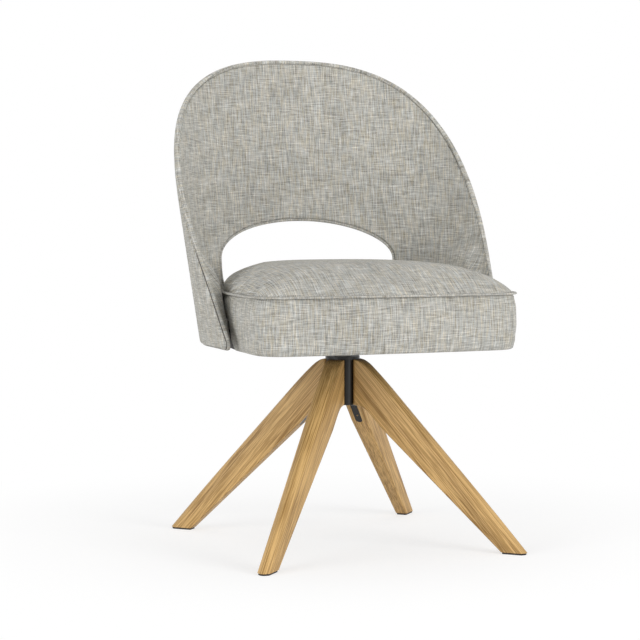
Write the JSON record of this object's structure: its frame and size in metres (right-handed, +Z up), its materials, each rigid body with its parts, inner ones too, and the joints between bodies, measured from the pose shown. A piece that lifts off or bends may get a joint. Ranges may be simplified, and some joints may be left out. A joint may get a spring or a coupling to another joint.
{
  "type": "swivel dining chair",
  "caption": "Swivel dining chair with an upholstered wrap-round back that has an oval opening, a boxed seat, and slanted wooden legs on a metal hub.",
  "frame": {"origin": "the swivel axis on the floor, midway between the feet", "axes": "+Z up along the swivel axis, the chair faces -Y, +X to the right as seen from the front"},
  "size_m": [0.5548, 0.4784, 0.8451],
  "materials": {
    "fabric": "woven, matte",
    "oak": "oiled, satin",
    "plywood": "sanded",
    "black_metal": "powder coat, satin",
    "black_screw": "black oxide, satin",
    "zinc_steel": "zinc plated",
    "black_plastic": "moulded, matte",
    "bearing_plastic": "moulded, matte",
    "foam": "open-cell foam",
    "dust_cloth": "non-woven, matte"
  },
  "bodies": {
    "base": {"hub": "black_metal", "bush_upper": "bearing_plastic", "bush_lower": "bearing_plastic", "thrust_ring": "bearing_plastic", "hub_cap": "black_plastic", "leg_front_left": "oak", "leg_front_right": "oak", "leg_rear_right": "oak", "leg_rear_left": "oak", "leg_tabs": "black_metal", "leg_dowels": "zinc_steel", "tab_screws": "black_screw", "glide_front_left": "black_plastic", "glide_front_right": "black_plastic", "glide_rear_right": "black_plastic", "glide_rear_left": "black_plastic", "glide_screws": "zinc_steel"},
    "seat": {"spindle": "black_metal", "swivel_plate": "black_metal", "plate_bolts": "black_screw", "plate_nuts": "zinc_steel", "spindle_washer": "zinc_steel", "spindle_screw": "zinc_steel", "seat_board": "plywood", "seat_rail": "plywood", "rail_screws": "zinc_steel", "seat_foam": "foam", "dust_cover": "dust_cloth", "seat_cushion": "fabric", "seat_lip": "fabric", "back_shell": "plywood", "back_inner_pad": "fabric", "back_outer_cover": "fabric", "back_edge_band": "fabric", "window_band": "fabric", "back_bolts": "zinc_steel", "back_nuts": "zinc_steel", "back_spacers": "black_plastic"}
  },
  "joints": [
    {"name": "seat_swivel", "type": "hinge", "parent": "base", "child": "seat", "pos_m": [0, 0, 0.3], "axis": [0, 0, 1], "continuous": true}
  ]
}
